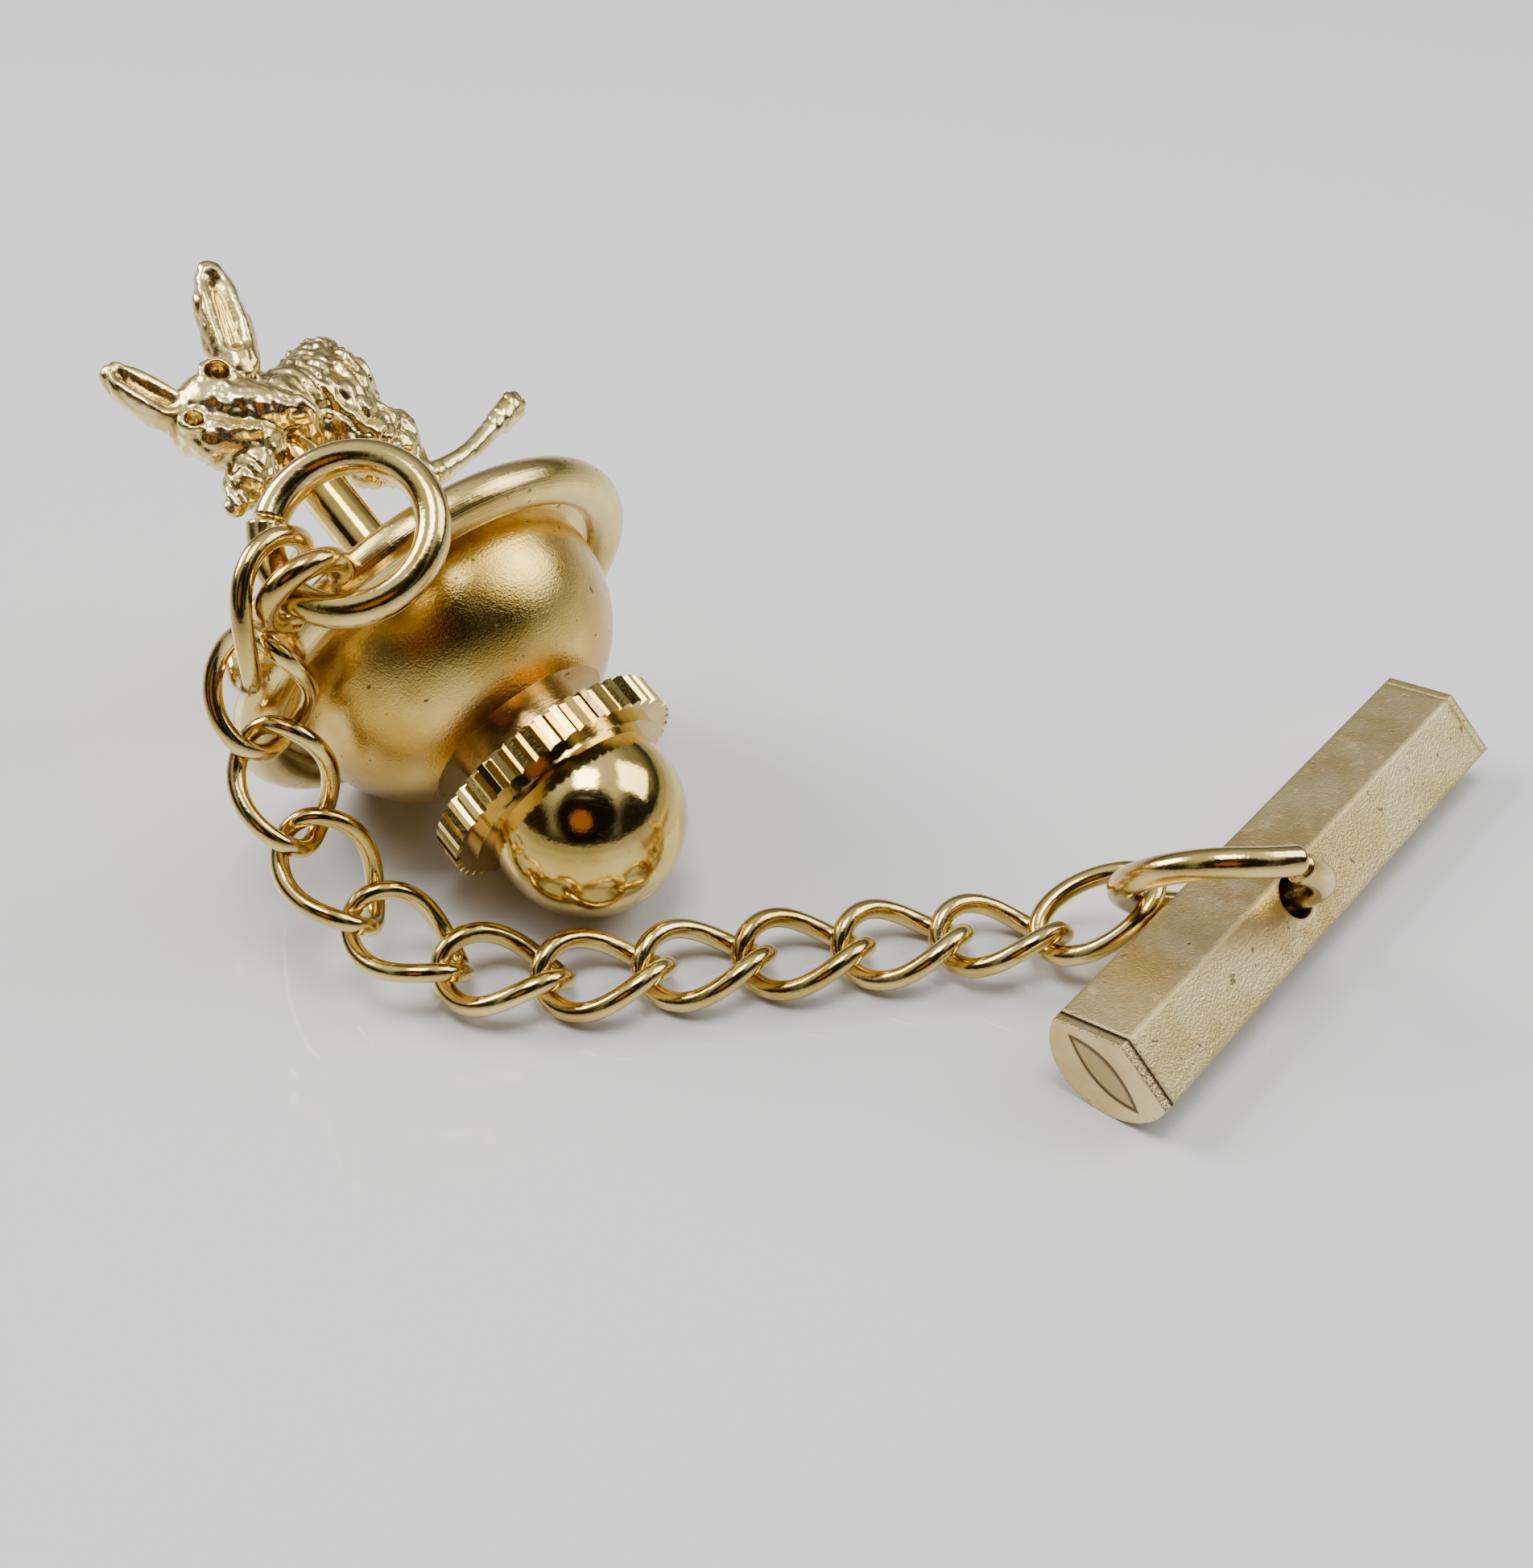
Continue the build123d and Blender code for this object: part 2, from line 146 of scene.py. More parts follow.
def turned(graph, place):
    """Length and radius along the clutch's axis, in millimetres, as a flat vector."""
    off = graph.vector("SUBTRACT", place, tuple(FLANGE * MM))
    along = graph.vector("DOT_PRODUCT", off, tuple(AXIS), out=1)
    radius = graph.vector("LENGTH", graph.vector("CROSS_PRODUCT", off, tuple(AXIS)), out=1)
    return graph.join(graph.math("MULTIPLY", along, 1000), graph.math("MULTIPLY", radius, 1000), 0)


def metal(
    name,
    light,
    deep,
    rough,
    grain=0.08,
    relief=0.25,
    grain_size=0.12,
    lines=0.0,
    specks=0.0,
    stretch=None,
    mottle=0.5,
    shape=None,
    scratched=0.12,
    soft_edge=0.0,
    hollows=0.0,
):
    """Metal in two soft tones, with fine grain, scratches, turned lines, tarnish specks and painted
    shade in its hollows.

    shape is a function that adds one piece's own marks to the tone and the relief.
    """
    material = bpy.data.materials.new(name)
    material.use_nodes = True
    tree = material.node_tree
    tree.nodes.clear()
    g = Graph(tree)
    place = g.add("ShaderNodeTexCoord", out=3)
    mm = g.vector("MULTIPLY", place, IN_MM)
    patches = g.noise(mm, mottle, 4.0, 0.55)
    fine = g.noise(mm, 1 / grain_size, 3.0, 0.6)
    tone = g.mix(g.step(patches, 0.35, 0.68), light, deep)
    roughness = g.math("ADD", rough, g.math("MULTIPLY", g.math("SUBTRACT", fine, 0.5), grain))
    scratch_at = g.vector("MULTIPLY", mm, stretch or (0.5, 16.0, 5.0))
    scratch = g.step(g.noise(scratch_at, 1.3, 1.0), 0.58, 0.80)
    roughness = g.math("ADD", roughness, g.math("MULTIPLY", scratch, 0.10))
    height = g.math("SUBTRACT", fine, g.math("MULTIPLY", scratch, scratched))
    if lines:
        ring = g.noise(turned(g, place), 16.0, 3.0, 0.7)
        height = g.math("ADD", height, g.math("MULTIPLY", ring, lines))
    if specks:
        dots = g.step(g.noise(mm, 3.4, 2.0, 0.6), 0.66, 0.74)
        dots = g.math("MULTIPLY", dots, specks)
        tone = g.mix(dots, tone, colour(0.13, 0.07, 0.02))
        roughness = g.math("ADD", roughness, g.math("MULTIPLY", dots, 0.3))
        height = g.math("SUBTRACT", height, g.math("MULTIPLY", dots, 0.6))
    # painted shade: where the surface is concave (low pointiness) the tone turns dark brown,
    # standing in for the shade that falls in hollows
    if hollows:
        sharpness = g.add("ShaderNodeNewGeometry", out=7)
        tone = g.mix(g.step(sharpness, 0.42, 0.50, hollows, 0.0), tone, colour(0.22, 0.11, 0.02))
    if shape:
        tone, height = shape(g, place, tone, height)
    relief_inputs = {"Strength": relief, "Distance": 0.03 * MM, "Height": height}
    if soft_edge:
        relief_inputs["Normal"] = g.add("ShaderNodeBevel", {"Radius": soft_edge * MM}, samples=4)
    bump = g.add("ShaderNodeBump", relief_inputs)
    surface = g.add(
        "ShaderNodeBsdfPrincipled",
        {"Base Color": tone, "Metallic": 1.0, "Roughness": roughness, "Normal": bump},
    )
    g.add("ShaderNodeOutputMaterial", {"Surface": surface})
    return material


def near_cap_marks(g, place, tone, height):
    """The dark seam round the near cap and the shallow lens-shaped dent in its face."""
    off = g.vector("SUBTRACT", place, tuple(BAR_MIDDLE * MM))
    across = g.math("MULTIPLY", g.vector("DOT_PRODUCT", off, tuple(BAR_ACROSS), out=1), 1000)
    up = g.math("MULTIPLY", g.vector("DOT_PRODUCT", off, tuple(BAR_UP), out=1), 1000)
    along = g.math("MULTIPLY", g.vector("DOT_PRODUCT", off, tuple(BAR_ALONG), out=1), 1000)
    # the lens lies between two arcs that meet at its ends
    lift = g.math("ADD", up, g.math("MULTIPLY", across, 0.25))
    room = g.math("SUBTRACT", 0.34, g.math("MULTIPLY", g.math("MULTIPLY", across, across), 0.34))
    edge = g.math("SUBTRACT", g.math("ABSOLUTE", lift), room)
    outline = g.step(g.math("ABSOLUTE", edge), 0.02, 0.09, 1.0, 0.0)
    inside = g.step(edge, -0.10, 0.02, 1.0, 0.0)
    face = g.step(along, -BAR_LENGTH / 2 + 0.01, -BAR_LENGTH / 2 + 0.05, 1.0, 0.0)
    seam = g.step(along, -BAR_LENGTH / 2 + 0.16, -BAR_LENGTH / 2 + 0.26, 0.0, 1.0)
    outline = g.math("MULTIPLY", outline, face)
    inside = g.math("MULTIPLY", inside, face)
    tone = g.mix(g.math("MULTIPLY", outline, 0.95), tone, colour(0.08, 0.045, 0.015))
    tone = g.mix(g.math("MULTIPLY", inside, 0.55), tone, colour(0.26, 0.17, 0.06))
    tone = g.mix(seam, tone, colour(0.07, 0.04, 0.02))
    return tone, g.math("SUBTRACT", height, g.math("MULTIPLY", inside, 2.0))


def ring_passage_shade(g, place, tone, height):
    """Painted shade round the passage for the jump ring: golden-brown, wobbled by noise."""
    off = g.vector("SUBTRACT", place, tuple(Vector((11.3, -5.9, 1.8)) * MM))
    near = g.step(g.vector("LENGTH", off, out=1), 1.2 * MM, 3.0 * MM, 1.0, 0.0)
    wobble = g.noise(g.vector("MULTIPLY", place, IN_MM), 2.2, 3.0, 0.6)
    # painted shade: golden-brown darkening close round the ring's passage, fading out by 3 mm,
    # standing in for the ring's shade
    painted_shade = g.math("MULTIPLY", near, g.step(wobble, 0.38, 0.62, 0.1, 0.6))
    return g.mix(painted_shade, tone, colour(0.52, 0.33, 0.10)), height


def knob_tip_mark(g, place, tone, height):
    """The small turned ring at the ball's tip."""
    parts = g.tree.nodes.new("ShaderNodeSeparateXYZ")
    g.put(parts.inputs[0], turned(g, place))
    past = g.step(parts.outputs[0], 7.7, 7.8)
    off_ring = g.math("ABSOLUTE", g.math("SUBTRACT", parts.outputs[1], 0.40))
    groove = g.step(off_ring, 0.02, 0.07, 1.0, 0.0)
    mark = g.math("MULTIPLY", past, groove)
    tone = g.mix(g.math("MULTIPLY", mark, 0.3), tone, colour(0.30, 0.18, 0.04))
    return tone, g.math("SUBTRACT", height, g.math("MULTIPLY", mark, 3.0))


BALL_GOLD = metal(
    "ball_gold", colour(0.80, 0.60, 0.20), colour(0.60, 0.41, 0.09), 0.10, 0.05, 0.10,
    lines=0.5, specks=0.25, shape=knob_tip_mark,
)
POLISHED = metal(
    "polished_gold", colour(0.80, 0.60, 0.20), colour(0.60, 0.41, 0.09), 0.10, 0.05, 0.10,
    lines=0.5, specks=0.25,
)
WIRE_GOLD = metal(
    "wire_gold", colour(0.78, 0.60, 0.23), colour(0.56, 0.39, 0.10), 0.14, 0.08, 0.15, specks=0.3,
)
RIM_GOLD = metal(
    "rim_gold", colour(0.80, 0.62, 0.23), colour(0.62, 0.44, 0.12), 0.17, 0.08, 0.2,
    lines=2.4, specks=0.8,
)
SATIN = metal(
    "satin_gold", colour(0.74, 0.53, 0.16), colour(0.54, 0.35, 0.07), 0.15, 0.10, 0.35,
    grain_size=0.05, lines=0.4, specks=0.9, scratched=0.0,
)
# painted shade: the neck pieces get a dark brown copy of the gold, standing in for the shade they
# sit in
SHADED_NECK_GOLD = metal(
    "shaded_neck_gold", colour(0.50, 0.33, 0.11), colour(0.26, 0.15, 0.04), 0.22, 0.1, 0.3, lines=1.4,
)
# worn bar gold, with painted shade round the jump ring's passage
WORN_WITH_RING_SHADE = metal(
    "worn_gold", colour(0.76, 0.62, 0.32), colour(0.62, 0.47, 0.19), 0.36, 0.14, 0.55,
    grain_size=0.06, specks=0.75, stretch=(2.5, 2.0, 8.0), mottle=0.8, shape=ring_passage_shade,
    scratched=0.15, soft_edge=0.16,
)
CAP_GOLD = metal(
    "cap_gold", colour(0.80, 0.64, 0.33), colour(0.66, 0.49, 0.20), 0.26, 0.12, 0.5,
    grain_size=0.08, specks=0.4, mottle=0.8, shape=near_cap_marks, soft_edge=0.08,
)
# the cast figure's gold, with painted shade in its hollows (hollows=0.9)
CAST = metal(
    "cast_gold", colour(0.84, 0.68, 0.32), colour(0.66, 0.49, 0.16), 0.20, 0.10, 0.35,
    grain_size=0.14, mottle=1.1, scratched=0.0, hollows=0.9,
)
STEEL = metal(
    "bright_steel", colour(0.62, 0.62, 0.63), colour(0.50, 0.50, 0.52), 0.2, 0.06, 0.2,
)

NODE_LOOKS = {
    "flange_plate": RIM_GOLD,
    "chain_lug": WIRE_GOLD,
    "dome_shell": SATIN,
    "cone_housing": SATIN,
    "neck_bush": SHADED_NECK_GOLD,
    "ball_cage": SATIN,
    "locking_balls": STEEL,
    "spring_collar": SATIN,
    "release_spring": STEEL,
    "neck_tube": SHADED_NECK_GOLD,
    "knurled_ring": POLISHED,
    "knob_seat": POLISHED,
    "knob_ball": BALL_GOLD,
    "pin_post": POLISHED,
    "bar_tube": WORN_WITH_RING_SHADE,
    "bar_cap_near": CAP_GOLD,
    "bar_cap_far": WORN_WITH_RING_SHADE,
}


def dress(piece, material):
    """Gives every material slot of a piece the same material."""
    if not piece.material_slots:
        piece.data.materials.append(material)
    for slot in piece.material_slots:
        slot.material = material


for node_name, look in NODE_LOOKS.items():
    dress(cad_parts[node_name], look)


# ---- round wire ------------------------------------------------------------------------------


def tube(name, path, wire, closed, sides=20, flat_ends=0.12):
    """A mesh tube of round wire along a path in millimetres, with slightly rounded cut ends."""
    count = len(path)
    tangents = []
    for i in range(count):
        before = path[i - 1] if closed or i else path[0]
        after = path[(i + 1) % count] if closed or i < count - 1 else path[-1]
        tangents.append((after - before).normalized())
    side = tangents[0].orthogonal().normalized()
    sides_at = [side]
    for i in range(1, count):
        side = (side - tangents[i] * side.dot(tangents[i])).normalized()
        sides_at.append(side)
    slip = 0.0
    if closed:
        last = (side - tangents[0] * side.dot(tangents[0])).normalized()
        first = sides_at[0]
        slip = math.atan2(last.cross(first).dot(tangents[0]), last.dot(first))
    rings = []
    for i in range(count):
        untwist = Matrix.Rotation(slip * i / count, 3, tangents[i])
        rings.append((path[i], tangents[i], untwist @ sides_at[i], wire))
    if not closed:
        bevel = wire * flat_ends
        for end, step in ((0, -1), (-1, 1)):
            at, along, across, radius = rings[end]
            rings[end] = (at - along * bevel * step, along, across, radius)
            cut = (at, along, across, radius - bevel)
            rings.insert(0, cut) if end == 0 else rings.append(cut)
    vertices, faces = [], []
    for at, along, across, radius in rings:
        other = along.cross(across)
        for k in range(sides):
            turn = 2 * math.pi * k / sides
            vertices.append((at + (across * math.cos(turn) + other * math.sin(turn)) * radius) * MM)
    total = len(rings)
    for i in range(total if closed else total - 1):
        for k in range(sides):
            a, b = i * sides, (i + 1) % total * sides
            faces.append((a + k, a + (k + 1) % sides, b + (k + 1) % sides, b + k))
    if not closed:
        faces.append(tuple(reversed(range(sides))))
        faces.append(tuple((total - 1) * sides + k for k in range(sides)))
    mesh = bpy.data.meshes.new(name)
    mesh.from_pydata(vertices, [], faces)
    mesh.shade_smooth()
    mesh.validate()
    piece = bpy.data.objects.new(name, mesh)
    bpy.context.scene.collection.objects.link(piece)
    return piece


def finish_piece(piece, material, body, slot, *nodes):
    dress(piece, material)
    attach(piece, body)
    if nodes:
        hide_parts(*nodes)


def direction(heading, slope):
    h, s = math.radians(heading), math.radians(slope)
    return Vector((math.cos(s) * math.cos(h), math.cos(s) * math.sin(h), -math.sin(s)))


def link(number, centre, heading, slope, roll, half_length, half_width, twist, wire):
    """One smooth curb link: an oval of wire twisted about its long axis."""
    along = direction(heading, slope)
    up = (Vector((0, 0, 1)) - along * along.z).normalized()
    up = Matrix.Rotation(math.radians(roll), 3, along) @ up
    across = up.cross(along)
    lean = math.radians(twist) / 2
    steps = 80
    path = []
    for i in range(steps):
        turn = 2 * math.pi * (i + 0.5) / steps
        run = half_length * math.cos(turn)
        wide = half_width * math.sin(turn)
        bend = lean * run / half_length
        path.append(
            centre + along * run + across * wide * math.cos(bend) + up * wide * math.sin(bend)
        )
    node = f"link_{number:02d}"
    piece = tube(f"curb_{node}", path, wire, True)
    finish_piece(piece, WIRE_GOLD, node, "chain_gold", node)


link(
    1, Vector((-10.795, -4.264, 8.274)), heading=-150.4, slope=65.0, roll=34.4,
    half_length=1.763, half_width=1.406, twist=-62.0, wire=0.23,
)
start = CHAIN_START
for number, (heading, slope, roll) in enumerate(CHAIN_LAY, 2):
    along = direction(heading, slope)
    wire = HUNG_WIRE if number < 6 else LINK_WIRE
    link(
        number, start + along * LINK_REACH, heading, slope, roll,
        LINK_HALF_LENGTH, LINK_HALF_WIDTH, LINK_TWIST, wire,
    )
    start = start + along * 2 * LINK_REACH
link(
    12, Vector((7.531, -6.199, 1.299)), heading=17.1, slope=-25.4, roll=179.5,
    half_length=1.487, half_width=0.994, twist=-18.4, wire=LINK_WIRE,
)


def jump_ring(name, centre, normal, radius, wire, cut_turn, proud, outward_slip, body, node):
    """A cut ring of round wire. One end stands proud along the normal and slips outward."""
    normal = normal.normalized()
    level = normal.cross(Vector((0, 0, 1))).normalized()
    across = normal.cross(level).normalized()
    saw_cut = 0.07
    gap = saw_cut / radius
    bent_share = 0.10
    steps = 120
    path = []
    for i in range(steps + 1):
        share = i / steps
        turn = math.radians(cut_turn) + share * (2 * math.pi - gap)
        ease = max(0.0, 1 - share / bent_share) ** 2
        out = level * math.cos(turn) + across * math.sin(turn)
        path.append(centre + out * (radius + outward_slip * ease) + normal * proud * ease)
    piece = tube(name, path, wire, False, sides=28)
    finish_piece(piece, WIRE_GOLD, body, "polished_gold", node)


jump_ring(
    "jump_ring_lug", centre=Vector((-8.83, -3.51, 9.70)), normal=Vector((-0.092, -0.538, 0.838)),
    radius=1.80, wire=0.385, cut_turn=0, proud=0.13, outward_slip=0.07,
    body="ring_1", node="jump_ring_1",
)
jump_ring(
    "jump_ring_bar", centre=Vector((10.08, -6.71, 2.52)), normal=Vector((0, -0.819, -0.574)),
    radius=2.15, wire=0.35, cut_turn=235, proud=-0.14, outward_slip=0.10,
    body="ring_2", node="jump_ring_2",
)


# ---- the cast fox ----------------------------------------------------------------------------


def on_fox(up, along, side):
    """A place on the figure in millimetres: up is away from the flange, along is level."""
    return FLANGE - AXIS * up + LEVEL * along + RISE * side


# each limb: start, end, start radius, end radius, in the figure's own directions
LIMBS = [
    ((6.95, 0.3, -0.2), (7.35, 2.2, -0.5), 1.30, 1.22),
    ((7.9, 1.9, -0.5), (8.35, 2.5, -0.5), 0.95, 0.75),
    ((5.5, 2.0, -0.4), (6.9, 1.6, -0.4), 1.05, 1.25),
    ((4.95, 2.5, -0.5), (5.6, 2.6, -0.5), 0.75, 0.85),
    ((7.45, -1.25, 0.5), (7.1, -0.9, 0.4), 1.05, 1.05),
    ((7.9, -0.9, 0.5), (7.2, -1.9, 0.5), 0.72, 0.72),
    ((7.1, -0.8, 0.7), (6.15, 0.35, 1.15), 0.85, 0.34),
    ((6.6, -1.8, 0.7), (6.1, -1.0, 0.5), 0.66, 0.75),
    ((6.2, -1.0, 0.4), (5.3, -1.7, 0.45), 0.80, 0.55),
    ((5.4, -1.8, 0.45), (4.9, -2.4, 0.5), 0.52, 0.22),
    ((5.5, -1.2, 0.4), (5.15, -0.9, 0.1), 0.50, 0.34),
    ((7.92, -1.0, 0.80), (7.92, -1.0, 0.92), 0.50, 0.50),
    ((7.02, -2.10, 0.70), (7.02, -2.18, 0.82), 0.40, 0.40),
    ((8.2, -0.15, 0.6), (9.2, 0.2, 0.72), 0.58, 0.70),
    ((9.2, 0.2, 0.72), (10.2, 0.47, 0.97), 0.70, 0.60),
    ((10.2, 0.47, 0.97), (10.85, 0.67, 1.10), 0.60, 0.38),
    ((7.5, -2.0, 0.6), (8.2, -2.45, 0.66), 0.50, 0.57),
    ((8.2, -2.45, 0.66), (8.85, -2.78, 0.74), 0.57, 0.51),
    ((8.85, -2.78, 0.74), (9.20, -2.90, 0.78), 0.51, 0.38),
    ((4.75, 2.55, -0.5), (4.05, 2.85, -0.5), 0.55, 0.36),
    ((4.05, 2.85, -0.5), (4.3, 4.3, -0.5), 0.34, 0.25),
    ((4.3, 4.3, -0.5), (4.8, 5.7, -0.5), 0.25, 0.31),
    ((4.8, 5.7, -0.5), (5.03, 6.25, -0.5), 0.36, 0.40),
]
EYES = [((7.92, -1.02, 1.30), 0.35), ((7.02, -2.22, 1.12), 0.28)]
# ears: base and tip of the hollow in each ear's front
EAR_HOLLOWS = [((8.8, 0.05, 1.3), (10.4, 0.52, 1.58)), ((7.95, -2.35, 1.2), (9.0, -2.82, 1.28))]
# smooth places: the bowl under the jaw and the tail
SMOOTH = [
    ((6.1, -1.75, 1.2), 0.7),
    ((4.15, 3.6, -0.5), 1.3),
    ((4.5, 4.8, -0.5), 1.3),
    ((4.9, 6.0, -0.5), 1.1),
]


def add_ball(vertices, faces, at, radius, rows=8, columns=12):
    """Adds a closed ball to the lists."""
    first = len(vertices)
    vertices.append(at + Vector((0, 0, radius)))
    for i in range(1, rows):
        down = math.pi * i / rows
        for k in range(columns):
            turn = 2 * math.pi * k / columns
            level = math.sin(down)
            out = Vector((level * math.cos(turn), level * math.sin(turn), math.cos(down)))
            vertices.append(at + out * radius)
    vertices.append(at - Vector((0, 0, radius)))
    last = len(vertices) - 1
    for k in range(columns):
        n = (k + 1) % columns
        faces.append((first, first + 1 + k, first + 1 + n))
        bottom = first + 1 + (rows - 2) * columns
        faces.append((last, bottom + n, bottom + k))
        for i in range(rows - 2):
            a = first + 1 + i * columns
            faces.append((a + k, a + columns + k, a + columns + n, a + n))


def fox_blank():
    """The figure's smooth body: balls along every limb, united by a voxel remesh."""
    vertices, faces = [], []
    for begin, end, wide, narrow in LIMBS:
        a, b = on_fox(*begin), on_fox(*end)
        pieces = max(3, int((b - a).length / (0.22 * min(wide, narrow))))
        for i in range(pieces + 1):
            share = i / pieces
            add_ball(vertices, faces, a.lerp(b, share), wide + (narrow - wide) * share)
    for at, radius in EYES:
        middle = on_fox(*at)
        for k in range(14):
            turn = 2 * math.pi * k / 14
            rim = -AXIS * math.cos(turn) * radius + LEVEL * math.sin(turn) * radius + RISE * 0.08
            add_ball(vertices, faces, middle + rim, 0.125, 6, 8)
    # the bright scalloped lip over the bowl
    for k in range(9):
        share = k / 8
        lip = on_fox(6.78 - 0.75 * share, -2.2 + 1.05 * share, 1.12 + 0.18 * share)
        add_ball(vertices, faces, lip + RISE * 0.05 * math.cos(share * 18), 0.17, 6, 8)
    mesh = bpy.data.meshes.new("fox_blank")
    mesh.from_pydata([v * MM for v in vertices], [], faces)
    blank = bpy.data.objects.new("fox_blank", mesh)
    bpy.context.scene.collection.objects.link(blank)
    remesh = blank.modifiers.new("unite", "REMESH")
    remesh.mode = "VOXEL"
    remesh.voxel_size = 0.055 * MM
    smooth = blank.modifiers.new("soften", "SMOOTH")
    smooth.factor = 0.6
    smooth.iterations = 5
    bpy.context.view_layer.update()
    depsgraph = bpy.context.evaluated_depsgraph_get()
    result = bpy.data.meshes.new_from_object(blank.evaluated_get(depsgraph))
    bpy.data.objects.remove(blank)
    return result


def falloff(distance, reach):
    """1 at no distance, easing to 0 at the reach."""
    share = min(1.0, distance / reach)
    return (1 - share * share) ** 2


def near_line(point, a, b):
    """Distance from a point to a stretch of line, and how far along it that is."""
    run = b - a
    share = max(0.0, min(1.0, (point - a).dot(run) / run.length_squared))
    return (point - a.lerp(b, share)).length, share


def carve_fox(mesh):
    """Fur, sunken eyes and grooved ears, pushed into the smooth body."""
    eyes = [(on_fox(*at), radius) for at, radius in EYES]
    hollows = [(on_fox(*a), on_fox(*b)) for a, b in EAR_HOLLOWS]
    smooth = [(on_fox(*at), reach) for at, reach in SMOOTH]
    head = on_fox(7.3, -1.3, 1.1)
    moved = []
    for vertex in mesh.vertices:
        at, normal = vertex.co / MM, vertex.normal
        calm = 1.0
        for middle, reach in smooth:
            calm *= 1 - falloff((at - middle).length, reach)
        push = 0.0
        for middle, radius in eyes:
            away = (at - middle - RISE * 0.1).length
            push -= 0.34 * falloff(away, radius * 0.95)
            calm *= 1 - 0.8 * falloff(away, radius * 1.9)
        for base, tip in hollows:
            away, share = near_line(at, base, tip)
            facing = max(0.0, normal.dot(RISE))
            push -= 0.42 * falloff(away, 0.46) * facing
            calm *= 1 - 0.9 * falloff(away, 1.5)
        flow = Vector((at.dot(AXIS) * 1.5, at.dot(LEVEL) * 3.2, at.dot(RISE) * 3.2))
        strands = min(1.0, abs(noise.noise(flow)) * 2.6)
        clumps = noise.noise(at * 1.7)
        grit = noise.noise(at * 5.5)
        on_head = falloff((at - head).length, 3.3)
        coat = 0.10 * clumps + 0.12 * strands - 0.08 + 0.015 * grit
        skin = 0.05 * noise.noise(at * 3.4) + 0.03 * grit
        push += calm * (coat * (1 - on_head) + skin * on_head)
        moved.append((at + normal * push) * MM)
    for vertex, place in zip(mesh.vertices, moved):
        vertex.co = place


fox_mesh = fox_blank()
carve_fox(fox_mesh)
fox_mesh.shade_smooth()
fox = bpy.data.objects.new("cast_fox", fox_mesh)
bpy.context.scene.collection.objects.link(fox)
finish_piece(fox, CAST, "pin", "textured_gold", "animal_figure")


# ---- floor, light and camera -----------------------------------------------------------------


def make_floor():
    """A large plain pale sheet with a faint gloss."""
    half = 4.0
    mesh = bpy.data.meshes.new("floor")
    corners = [(-half, -half, 0), (half, -half, 0), (half, half, 0), (-half, half, 0)]
    mesh.from_pydata(corners, [], [(0, 1, 2, 3)])
    floor = bpy.data.objects.new("floor", mesh)
    bpy.context.scene.collection.objects.link(floor)
    material = bpy.data.materials.new("pale_floor")
    material.use_nodes = True
    tree = material.node_tree
    tree.nodes.clear()
    g = Graph(tree)
    place = g.vector("MULTIPLY", g.add("ShaderNodeTexCoord", out=3), IN_MM)
    shade = g.mix(g.noise(place, 0.02, 2.0), colour(0.66, 0.66, 0.665), colour(0.69, 0.69, 0.69))
    surface = g.add(
        "ShaderNodeBsdfPrincipled",
        {"Base Color": shade, "Roughness": 0.06, "IOR": 1.42, "Specular IOR Level": 0.5},
    )
    g.add("ShaderNodeOutputMaterial", {"Surface": surface})
    mesh.materials.append(material)


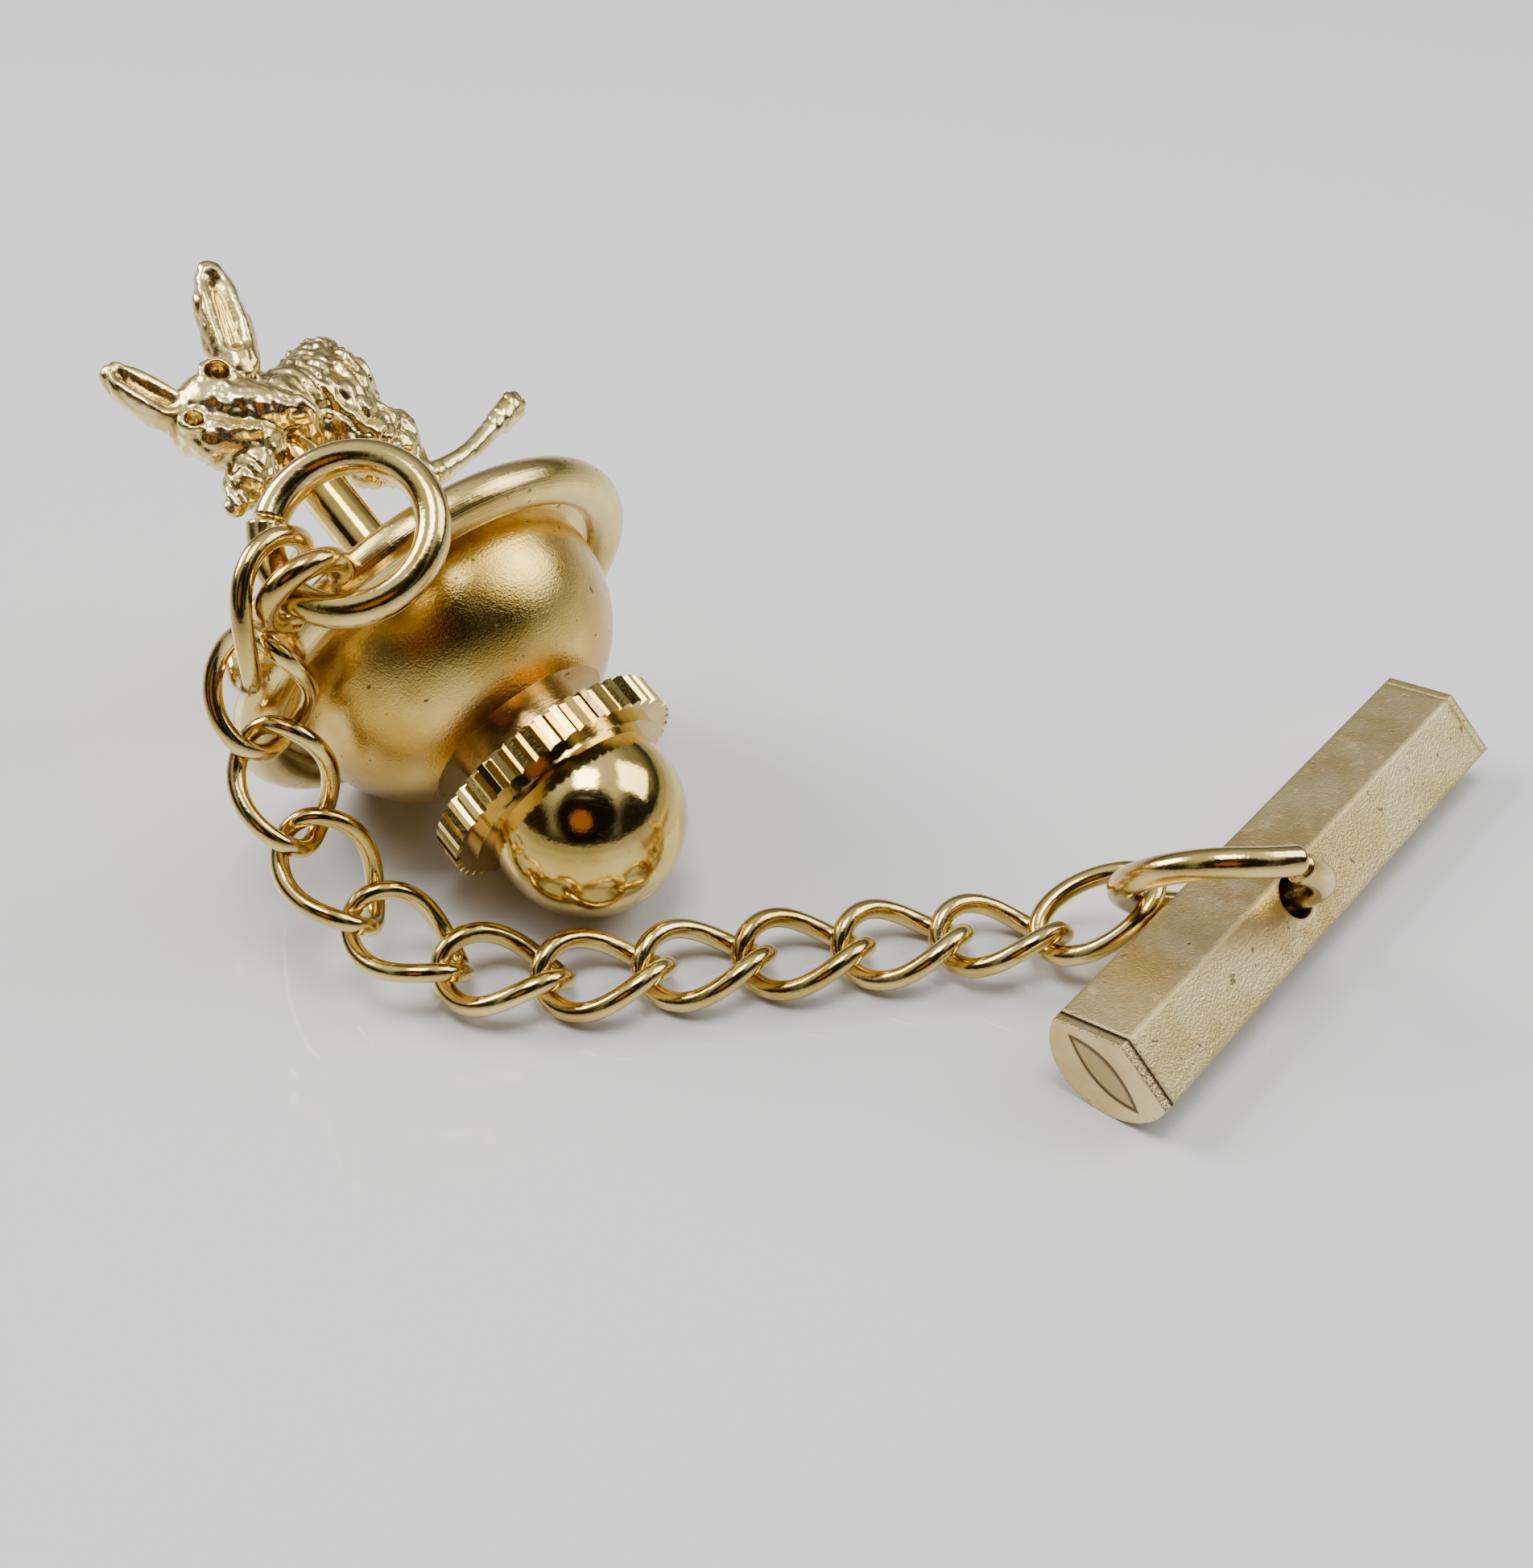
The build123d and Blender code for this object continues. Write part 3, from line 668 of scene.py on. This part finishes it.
def make_world():
    """A room for the metal to mirror. White overhead, grey below that, then a dark band, and pale
    again at the horizon, with dark patches in front, left and right and one warm patch in front.
    """
    world = bpy.data.worlds.new("studio")
    bpy.context.scene.world = world
    world.use_nodes = True
    tree = world.node_tree
    tree.nodes.clear()
    g = Graph(tree)
    way = g.vector("NORMALIZE", g.add("ShaderNodeTexCoord", out=0))
    height = g.vector("DOT_PRODUCT", way, (0, 0, 1), out=1)
    tone = g.mix(g.step(height, 0.14, 0.45), colour(0.015, 0.012, 0.008), colour(0.36, 0.36, 0.36))
    tone = g.mix(g.step(height, 0.58, 0.88), tone, colour(1.0, 1.0, 0.98))
    viewer = g.vector("DOT_PRODUCT", way, (0.05, -0.74, 0.67), out=1)
    tone = g.mix(g.step(viewer, 0.76, 0.86), tone, colour(0.01, 0.009, 0.007))
    warm = g.vector("DOT_PRODUCT", way, (-0.06, -0.80, 0.60), out=1)
    tone = g.mix(g.step(warm, 0.972, 0.988), tone, colour(0.50, 0.20, 0.06))
    side = g.vector("DOT_PRODUCT", way, (0.93, -0.28, 0.22), out=1)
    tone = g.mix(g.step(side, 0.80, 0.92), tone, colour(0.02, 0.018, 0.015))
    left = g.vector("DOT_PRODUCT", way, (-0.90, -0.38, 0.22), out=1)
    tone = g.mix(g.step(left, 0.88, 0.95), tone, colour(0.03, 0.02, 0.01))
    tone = g.mix(g.step(height, 0.10, 0.17, 1.0, 0.0), tone, colour(0.66, 0.66, 0.66))
    surface = g.add("ShaderNodeBackground", {"Color": tone, "Strength": 0.85})
    g.add("ShaderNodeOutputWorld", {"Surface": surface})


def area_light(name, place, size, power, tint=(1.0, 1.0, 1.0)):
    """A soft square light at a place in metres, facing the origin."""
    light = bpy.data.lights.new(name, "AREA")
    light.shape = "SQUARE"
    light.size = size
    light.energy = power
    light.color = tint
    lamp = bpy.data.objects.new(name, light)
    lamp.location = place
    lamp.rotation_euler = (Vector((0, 0, 0)) - Vector(place)).to_track_quat("-Z", "Y").to_euler()
    bpy.context.scene.collection.objects.link(lamp)


SENSOR_MM = 36
LENS_MM = 46.2
CAMERA_AWAY = 51.5 * MM
CAMERA_RISE = math.radians(39)


def make_camera():
    """The photo's view, from in front of the chain and looking down at the origin."""
    camera = bpy.data.cameras.new("camera")
    camera.sensor_width = SENSOR_MM
    camera.lens = LENS_MM
    camera.clip_start = 0.001
    camera.clip_end = 10
    seat = bpy.data.objects.new("camera", camera)
    level_run = CAMERA_AWAY * math.cos(CAMERA_RISE)
    seat.location = (0, -level_run, CAMERA_AWAY * math.sin(CAMERA_RISE))
    seat.rotation_euler = (math.pi / 2 - CAMERA_RISE, 0, 0)
    bpy.context.scene.collection.objects.link(seat)
    bpy.context.scene.camera = seat


make_floor()
make_world()
area_light("key", (-0.26, 0.10, 0.20), 0.16, 1.35, (1.0, 0.985, 0.96))
area_light("fill", (0.20, 0.06, 0.18), 0.16, 0.45, (0.97, 0.985, 1.0))
area_light("top", (0.0, -0.02, 0.30), 0.12, 0.60)
make_camera()
